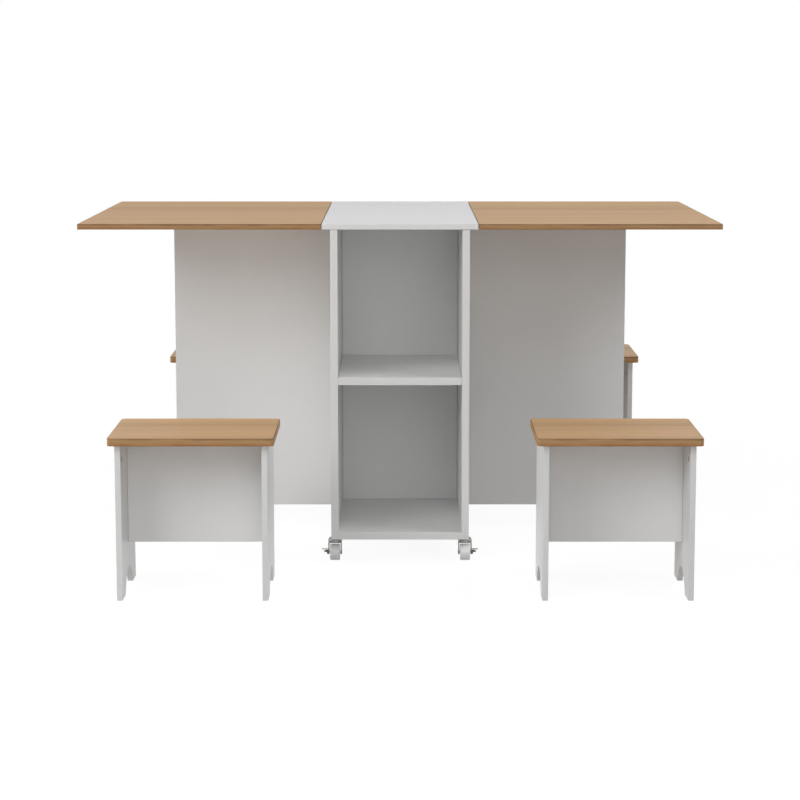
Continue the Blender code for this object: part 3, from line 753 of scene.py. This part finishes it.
def build_stool(name):
    """One stool: a seat, two legs with their cams and the stretcher between them."""
    seat = name + "_seat"
    low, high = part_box(seat)
    centre, half = (low + high) / 2, (high - low) / 2
    shape = plate(seat_outline(half.x, half.y), -half.z, half.z)
    board(seat, SEAT_BOARD, shape=shape, ease=SEAT_EASE, place=Matrix.Translation(centre))
    for leg_name, side in SIDES.items():
        leg = f"{name}_{leg_name}_leg"
        low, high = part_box(leg)
        middle, half_depth = (low.y + high.y) / 2, (high.y - low.y) / 2
        half_thick = (high.x - low.x) / 2
        shape = plate(leg_outline(half_depth, high.z), -half_thick, half_thick)
        moved(shape, Matrix.Translation(((low.x + high.x) / 2, middle, 0)) @ STAND_ALONG_Y)
        inside = high.x if side < 0 else low.x
        centres = [
            (inside, middle + end * (half_depth - STOOL_CAM_SIDE_PLACE), high.z - CAM_EDGE_PLACE)
            for end in ENDS.values()
        ]
        cammed_board(leg, centres, X_AXIS, -side, THIN_CAM, shape)
    stretcher = name + "_stretcher"
    low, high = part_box(stretcher)
    towards = 1 if high.y < 0 else -1
    face = high.y if towards > 0 else low.y
    centres = [
        (x, face, height)
        for x in (low.x + CAM_EDGE_PLACE, high.x - CAM_EDGE_PLACE)
        for height in (low.z + STOOL_CAM_SIDE_PLACE, high.z - STOOL_CAM_SIDE_PLACE)
    ]
    cammed_board(stretcher, centres, Y_AXIS, towards, THIN_CAM)


# Hinges
def hinge_mesh(name, length, flap_width, carries_pin):
    """Half of a butt hinge, with its pin along Z, its flap towards +X and its back facing +Y."""
    half, corner = length / 2, FLAP_CORNER
    outline = [(0, -half), *arc((flap_width - corner, corner - half), corner, 3, 4, FLAP_CORNER_STEPS)]
    outline += [*arc((flap_width - corner, half - corner), corner, 0, 1, FLAP_CORNER_STEPS), (0, half)]
    flap = moved(plate(outline, -KNUCKLE_RADIUS, FLAP_THICK - KNUCKLE_RADIUS), STAND_ALONG_X)
    knuckle, edge = length / 3, KNUCKLE_RADIUS + KNUCKLE_GAP
    barrel_end = half - WELD_STEP
    joins = [rod(KNUCKLE_RADIUS, (0, 0, -barrel_end), (0, 0, barrel_end))]
    if carries_pin:
        spaces = [(-knuckle / 2 - KNUCKLE_GAP, knuckle / 2 + KNUCKLE_GAP)]
    else:
        spaces = [(-half - CUT_OVERRUN, -knuckle / 2), (knuckle / 2, half + CUT_OVERRUN)]
    outside = KNUCKLE_RADIUS + CUT_OVERRUN
    cuts = [box((-outside, -outside, low), (edge, outside, high)) for low, high in spaces]
    if not carries_pin:
        bore_end = knuckle / 2 + CUT_OVERRUN
        cuts.append(rod(PIN_RADIUS + KNUCKLE_GAP, (0, 0, -bore_end), (0, 0, bore_end)))
        return as_mesh(name, combined(flap, joins, cuts=cuts), (ZINC,))
    pin_end = half + KNUCKLE_RADIUS / 2
    pin = eased(rod(PIN_RADIUS, (0, 0, -pin_end), (0, 0, pin_end)), PIN_RADIUS / 3)
    return as_mesh(name, combined(combined(flap, joins, cuts=cuts), [pin]), (ZINC,))


def hinge_place(centre, flap_towards, back_towards):
    """Turns a hinge half so that its flap and its back face the given ways."""
    along, back = Vector(flap_towards), Vector(back_towards)
    turn = Matrix((along, back, along.cross(back))).transposed().to_4x4()
    return Matrix.Translation(centre) @ turn


def hinge_half(node_name, mesh, centre, flap_towards, back_towards, length, flap_width):
    """One half of a hinge and its three screws."""
    place = hinge_place(centre, flap_towards, back_towards)
    piece(node_name + "_plate", mesh, BODY_OF[node_name], [node_name], place)
    face = KNUCKLE_RADIUS - FLAP_THICK
    places = [
        place @ facing((across * flap_width, face, along * length), (0, -1, 0))
        for across, along in FLAP_SCREWS
    ]
    screws(node_name + "_screws", places, BODY_OF[node_name])


def build_hinges():
    """Two butt hinges under each leaf and two on each gate."""
    low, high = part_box("left_front_leaf_hinge_top_half")
    leaf_pivot = PIVOT_OF["left_leaf_body"]
    pin_spare = KNUCKLE_RADIUS
    length, width = high.y - low.y - pin_spare, high.x - leaf_pivot.x
    fixed = hinge_mesh("leaf_hinge_fixed", length, width, True)
    hung = hinge_mesh("leaf_hinge_hung", length, width, False)
    for side_name, side in SIDES.items():
        pivot = PIVOT_OF[side_name + "_leaf_body"]
        for end_name in ENDS:
            name = f"{side_name}_{end_name}_leaf_hinge"
            low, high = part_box(name + "_top_half")
            centre = (pivot.x, (low.y + high.y) / 2, pivot.z)
            hinge_half(name + "_top_half", fixed, centre, (-side, 0, 0), (0, 0, 1), length, width)
            hinge_half(name + "_leaf_half", hung, centre, (side, 0, 0), (0, 0, 1), length, width)
    low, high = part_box("left_lower_gate_hinge_side_half")
    length, width = high.z - low.z - pin_spare, high.y - PIVOT_OF["left_gate_body"].y
    fixed = hinge_mesh("gate_hinge_fixed", length, width, True)
    hung = hinge_mesh("gate_hinge_hung", length, width, False)
    for side_name, side in SIDES.items():
        pivot = PIVOT_OF[side_name + "_gate_body"]
        for level in ("lower", "upper"):
            name = f"{side_name}_{level}_gate_hinge"
            low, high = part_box(name + "_side_half")
            centre = (pivot.x, pivot.y, (low.z + high.z) / 2)
            hinge_half(name + "_side_half", fixed, centre, (0, 1, 0), (-side, 0, 0), length, width)
            hinge_half(name + "_gate_half", hung, centre, (side, 0, 0), (0, -1, 0), length, width)


# Casters, each built about its swivel axis with the floor at zero height
def stem_mesh(plate_height, top):
    """Spindle, flange, ball race, neck and rivet head, turned in one piece."""
    flange_top = plate_height - CASTER_GAP
    race_low = DOME_TOP + CASTER_GAP
    rivet_top = FORK_TOP_HEIGHT - FORK_TOP_THICK - CASTER_GAP
    flange_low, rivet_low = flange_top - FLANGE_THICK, rivet_top - RIVET_THICK
    ease = FLANGE_THICK / 4
    profile = [(0, top), (SPINDLE_RADIUS - ease, top), (SPINDLE_RADIUS, top - ease)]
    profile += [(SPINDLE_RADIUS, flange_top), (FLANGE_RADIUS - ease, flange_top)]
    profile += reversed(arc((FLANGE_RADIUS - ease, flange_top - ease), ease, 0, 1, ROUND_STEPS))
    profile += reversed(arc((FLANGE_RADIUS - ease, flange_low + ease), ease, -1, 0, ROUND_STEPS))
    profile += [(RACE_RADIUS, flange_low)]
    profile += reversed(arc((RACE_RADIUS - ease, race_low + ease), ease, -1, 0, ROUND_STEPS))
    profile += [(NECK_RADIUS, race_low), (NECK_RADIUS, rivet_top), (RIVET_RADIUS, rivet_top)]
    profile += reversed(arc((RIVET_RADIUS - ease, rivet_low + ease), ease, -1, 0, ROUND_STEPS))
    profile += [(0, rivet_low)]
    return as_mesh("caster_stem", turned(profile, TURN_SIDES), (ZINC,))


def wheel_mesh(radius, width):
    """A wheel about X: rounded tread, side recesses and a hub of its own plastic."""
    half, bend = width / 2, WHEEL_ROUND
    upper = [(HUB_BORE, half), (HUB_RADIUS - HUB_RECESS, half), (HUB_RADIUS, half - HUB_RECESS)]
    upper += [(HUB_RADIUS + HUB_RECESS, half)]
    upper += reversed(arc((radius - bend, half - bend), bend, 0, 1, ROUND_STEPS))
    profile = upper + [(u, -v) for u, v in reversed(upper)]
    shape = turned(profile, TURN_SIDES)
    for face in shape.faces:
        centre = face.calc_center_median()
        face.material_index = int(math.hypot(centre.x, centre.y) < HUB_RADIUS)
    moved(shape, Matrix.Rotation(math.pi / 2, 4, "Y"))
    return as_mesh("caster_wheel", shape, (TREAD, HUB))


def race_dome(low):
    """The domed race housing on the fork: a flat crown, a round shoulder and a crimped rim."""
    ease = FORK_LIP_ROUND
    base = DOME_RIM_RADIUS - DOME_RIM_STEP
    across, rise = base - DOME_FLAT_RADIUS, DOME_TOP - DOME_RIM_TOP
    profile = [(0, DOME_TOP)]
    for u, v in reversed(arc((0, 0), 1, 0, 1, DOME_STEPS)):
        profile.append((DOME_FLAT_RADIUS + across * u, DOME_RIM_TOP + rise * v))
    profile += [(DOME_RIM_RADIUS, DOME_RIM_TOP - DOME_RIM_STEP), (DOME_RIM_RADIUS, low + ease)]
    profile += [(DOME_RIM_RADIUS - ease, low), (0, low)]
    return turned(profile, TURN_SIDES)


def fork_mesh(name, trail, half, lever_side):
    """A pressed fork: rounded shoulders, tapering cheeks, race dome, front lip and riveted axle."""

    def axle_point(x):
        """A point on the wheel's axle."""
        return x, trail * CASTER_TRAIL, WHEEL_CENTRE

    top, bend = FORK_TOP_HEIGHT, FORK_SHOULDER_ROUND
    inner_bend = bend - FORK_THICK
    inside, inner_top = half - FORK_THICK, top - FORK_THICK
    lip, heel = trail * DOME_RIM_RADIUS, -trail * FORK_FOOT_RADIUS
    reach = DOME_RIM_RADIUS + FORK_FOOT_RADIUS + CUT_OVERRUN
    section = [(half, 0), *arc((half - bend, top - bend), bend, 0, 1, ROUND_STEPS)]
    section += [*arc((bend - half, top - bend), bend, 1, 2, ROUND_STEPS), (-half, 0), (-inside, 0)]
    section += arc((inner_bend - inside, inner_top - inner_bend), inner_bend, 2, 1, ROUND_STEPS)
    section += arc((inside - inner_bend, inner_top - inner_bend), inner_bend, 1, 0, ROUND_STEPS)
    section += [(inside, 0)]
    shell = moved(plate(section, -reach, reach), STAND_ALONG_X)
    foot = rod(FORK_FOOT_RADIUS, axle_point(-half - CUT_OVERRUN), axle_point(half + CUT_OVERRUN), TURN_SIDES)
    shoulder = box(
        (-half - CUT_OVERRUN, lip, top - 2 * FORK_TOP_THICK), (half + CUT_OVERRUN, heel, top + CUT_OVERRUN)
    )
    side_view = hull([foot, shoulder])
    # The pressing's faces take the darker steel copy, painted dark reflection; the dome, lip and axle keep
    # the zinc.
    for face in [*shell.faces, *side_view.faces]:
        face.material_index = PAINTED_REFLECTION_FACES
    cheeks = combined(shell, limits=[side_view], materials=CASTER_STEELS)
    head_low = top - FORK_TOP_THICK
    joins = [race_dome(head_low)]
    front = box(
        (WELD_STEP - inside - FORK_THICK / 2, lip - WELD_STEP * trail, head_low - FORK_LIP_DEPTH),
        (inside + FORK_THICK / 2 - WELD_STEP, lip - trail * FORK_THICK, top - 2 * WELD_STEP),
    )
    joins.append(eased(front, FORK_LIP_ROUND))
    axle_reach = {}
    for side in SIDES.values():
        lever_room = LEVER_THICK + 2 * CASTER_GAP if side == lever_side else -FORK_THICK / 2
        axle_reach[side] = half + AXLE_HEAD_THICK + max(lever_room, 0)
        head_rod = rod(
            AXLE_HEAD_RADIUS, axle_point(side * (half + lever_room)), axle_point(side * axle_reach[side])
        )
        joins.append(eased(head_rod, AXLE_HEAD_THICK / 3))
    ends = [axle_point(side * (end - AXLE_HEAD_THICK / 2)) for side, end in axle_reach.items()]
    joins.append(rod(AXLE_RADIUS, *ends))
    hole = rod(NECK_RADIUS + CASTER_GAP, (0, 0, head_low - CUT_OVERRUN), (0, 0, DOME_TOP + CUT_OVERRUN))
    return as_mesh(name, combined(cheeks, joins, cuts=[hole], materials=CASTER_STEELS), CASTER_STEELS)


def lever_meshes(name, trail, side, root):
    """The moulded rocker of a brake and the steel pedal plate on it."""
    axle_y = trail * CASTER_TRAIL
    face, core = root + LEVER_THICK, root + LEVER_THICK / 2
    pedal_y = axle_y + trail * LEVER_FORWARD
    near, far = pedal_y - trail * LEVER_WIDTH / 2, pedal_y + trail * LEVER_WIDTH / 2
    arm_near, arm_far = near + trail * LEVER_EASE, far - trail * LEVER_EASE
    toe_near = axle_y + trail * (AXLE_HEAD_RADIUS + CASTER_GAP)
    toe_far = arm_far - trail * LEVER_EASE
    plate_low = PEDAL_TOP - PEDAL_PLATE_THICK
    arm_low, arm_top = PEDAL_TOP - PEDAL_ROOT_DEPTH, plate_low
    hub = rod(
        LEVER_HUB_RADIUS, (side * root, axle_y, WHEEL_CENTRE), (side * face, axle_y, WHEEL_CENTRE), TURN_SIDES
    )
    cheek = hull([hub, box((side * root, arm_near, arm_low), (side * face, arm_far, arm_top))])
    toe_x = root + PEDAL_TOE_REACH
    toe_root = box(
        (side * core, toe_near, PEDAL_TOE_BOTTOM + LEVER_EASE),
        (side * face, toe_far, arm_top - LEVER_EASE / 2),
    )
    toe_tip = box(
        (side * (toe_x - PEDAL_TOE_THICK), toe_near, PEDAL_TOE_BOTTOM),
        (side * toe_x, toe_far, PEDAL_TOE_BOTTOM + PEDAL_TOE_THICK),
    )
    bore = rod(
        AXLE_RADIUS + CASTER_GAP,
        (side * (root - CUT_OVERRUN), axle_y, WHEEL_CENTRE),
        (side * (face + CUT_OVERRUN), axle_y, WHEEL_CENTRE),
    )
    rocker = combined(cheek, [hull([toe_root, toe_tip])], cuts=[bore], materials=(BLACK_PLASTIC,))
    pedal = box((side * root, near, plate_low), (side * (root + PEDAL_REACH), far, PEDAL_TOP))
    return (
        as_mesh(name + "_rocker", rocker, (BLACK_PLASTIC,)),
        as_mesh(name + "_pedal", eased(pedal, PEDAL_PLATE_THICK / 4), (PIN_STEEL,)),
    )


def build_casters():
    """Four swivel casters, the front two with brakes."""
    plate_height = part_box("bottom_panel")[0].z
    low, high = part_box("front_left_caster_wheel")
    stem = stem_mesh(plate_height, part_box("front_left_caster_stem")[1].z)
    wheel = wheel_mesh((high.z - low.z) / 2, high.x - low.x)
    for end_name, end in ENDS.items():
        for side_name, side in SIDES.items():
            name = f"{end_name}_{side_name}_caster"
            axis = PIVOT_OF[name + "_swivel_body"]
            place = Matrix.Translation((axis.x, axis.y, 0))
            low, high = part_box(name + "_fork")
            braked = side if end_name == "front" else 0
            plain_side = high.x - axis.x if side < 0 else axis.x - low.x
            half = plain_side - AXLE_HEAD_THICK
            part = name + "_stem"
            piece(part + "_turning", stem, BODY_OF[part], [part], place)
            part = name + "_fork"
            fork = fork_mesh(part + "_pressing", end, half, braked)
            piece(fork.name, fork, BODY_OF[part], [part], place)
            part = name + "_wheel"
            hub = Matrix.Translation(PIVOT_OF[part + "_body"])
            piece(part + "_tread", wheel, BODY_OF[part], [part], hub)
            if braked:
                part = name + "_brake_lever"
                rocker, pedal = lever_meshes(name + "_brake", end, side, half + CASTER_GAP)
                piece(rocker.name, rocker, BODY_OF[part], [part], place)
                piece(pedal.name, pedal, BODY_OF[part], [part], place)


# Camera, floor and light
def build_camera():
    """The camera in front of the set, tilted down a little."""
    data = bpy.data.cameras.new("camera")
    data.lens = LENS_MM
    data.sensor_width = SENSOR_MM
    camera = bpy.data.objects.new("camera", data)
    camera.location = (0, -CAMERA_BACK, CAMERA_HEIGHT)
    camera.rotation_euler = (math.pi / 2 - CAMERA_TILT, 0, 0)
    bpy.context.scene.collection.objects.link(camera)
    bpy.context.scene.camera = camera


FLOOR_SIZE = 120.0
FLOOR_DROP = 0.0004
FLOOR_TONE = 0.60
NEAR_FLOOR_GLOW = 0.92
NEAR_FLOOR_TONE = 0.13
NEAR_FLOOR_REACH = 1.1
WHITE_FLOOR_REACH = 2.4
AMBIENT = 0.01

# Soft boxes: turn round from the front (left is negative) and height in degrees, then watts
SOFT_BOXES = {
    "key": (-40, 28, 55),
    "upper": (0, 48, 23),
    "middle": (0, 28, 17),
    "front": (10, 8, 17),
    "front_left": (-65, 8, 15),
    "right": (70, 48, 69),
    "left": (-100, 12, 78),
    "rear_left": (-150, 8, 58),
    "rear_right": (140, 8, 50),
}
# Kept out of reflections: the white top, seen against one of them at a low angle, would turn pure white
UNREFLECTED = ("key", "left", "rear_left", "rear_right")
SOFT_BOX_SIZE = 2.4
SOFT_BOX_DISTANCE = 4.5
AIM_HEIGHT = 0.40


def seen_ray(tree):
    """One for what the camera, a reflection or a view through something sees, and zero for light."""
    path = node(tree, "LightPath").outputs
    total = node(tree, "Math", {0: path["Is Camera Ray"], 1: path["Is Glossy Ray"]}, operation="ADD")
    inputs = {0: total.outputs[0], 1: path["Is Transmission Ray"]}
    return node(tree, "Math", inputs, operation="ADD", use_clamp=True).outputs[0]


def build_floor():
    """A pale floor that the camera sees as white, with the object's shadow kept on it."""
    shape = bmesh.new()
    bmesh.ops.create_grid(shape, x_segments=1, y_segments=1, size=FLOOR_SIZE / 2)
    made = bpy.data.materials.new("pale_floor")
    made.use_nodes = True
    tree = made.node_tree
    tree.nodes.clear()
    real = node(tree, "BsdfDiffuse", {"Color": (FLOOR_TONE, FLOOR_TONE, FLOOR_TONE, 1)})
    place = node(tree, "TexCoord").outputs["Object"]
    reach = node(tree, "VectorMath", {0: place}, operation="LENGTH").outputs["Value"]
    faded = []
    for near, far in ((NEAR_FLOOR_TONE, 0.0), (NEAR_FLOOR_GLOW, 1.0)):
        limits = {"Value": reach, "From Min": NEAR_FLOOR_REACH, "From Max": WHITE_FLOOR_REACH}
        inputs = {**limits, "To Min": near, "To Max": far}
        faded.append(node(tree, "MapRange", inputs, interpolation_type="SMOOTHSTEP").outputs[0])
    shaded = node(tree, "BsdfDiffuse", {"Color": faded[0]})
    glow = node(tree, "Emission", {"Strength": faded[1]})
    seen = node(tree, "AddShader", {0: shaded.outputs[0], 1: glow.outputs[0]})
    both = node(tree, "MixShader", {0: seen_ray(tree), 1: real.outputs[0], 2: seen.outputs[0]})
    output = node(tree, "OutputMaterial")
    tree.links.new(both.outputs[0], output.inputs["Surface"])
    floor = bpy.data.objects.new("floor", as_mesh("floor", shape, (made,)))
    floor.location = (0, 0, -FLOOR_DROP)
    bpy.context.scene.collection.objects.link(floor)


def build_world():
    """Even light from all round, seen as white."""
    world = bpy.data.worlds.new("studio")
    world.use_nodes = True
    tree = world.node_tree
    tree.nodes.clear()
    strength = remap(tree, seen_ray(tree), 0.0, 1.0, AMBIENT, 1.0)
    light = node(tree, "Background", {"Color": (1, 1, 1, 1), "Strength": strength})
    output = node(tree, "OutputWorld")
    tree.links.new(light.outputs[0], output.inputs["Surface"])
    bpy.context.scene.world = world


def build_lights():
    """Soft boxes aimed at the middle of the set."""
    aim = Vector((0, 0, AIM_HEIGHT))
    for name, (turn, height, watts) in SOFT_BOXES.items():
        turn, height = math.radians(turn), math.radians(height)
        back = Vector(
            (math.sin(turn) * math.cos(height), -math.cos(turn) * math.cos(height), math.sin(height))
        )
        data = bpy.data.lights.new(name, "AREA")
        data.shape = "DISK"
        data.size = SOFT_BOX_SIZE
        data.energy = watts
        lamp = bpy.data.objects.new(name, data)
        lamp.location = aim + SOFT_BOX_DISTANCE * back
        lamp.rotation_euler = back.to_track_quat("Z", "Y").to_euler()
        lamp.visible_camera = False
        lamp.visible_glossy = name not in UNREFLECTED
        bpy.context.scene.collection.objects.link(lamp)


build_camera()
build_table_boards()
build_gate_pads()
build_hinges()
build_casters()
for end_name in ENDS:
    for side_name in SIDES:
        build_stool(f"{end_name}_{side_name}_stool")
build_floor()
build_world()
build_lights()
bpy.context.scene.view_settings.view_transform = "Standard"
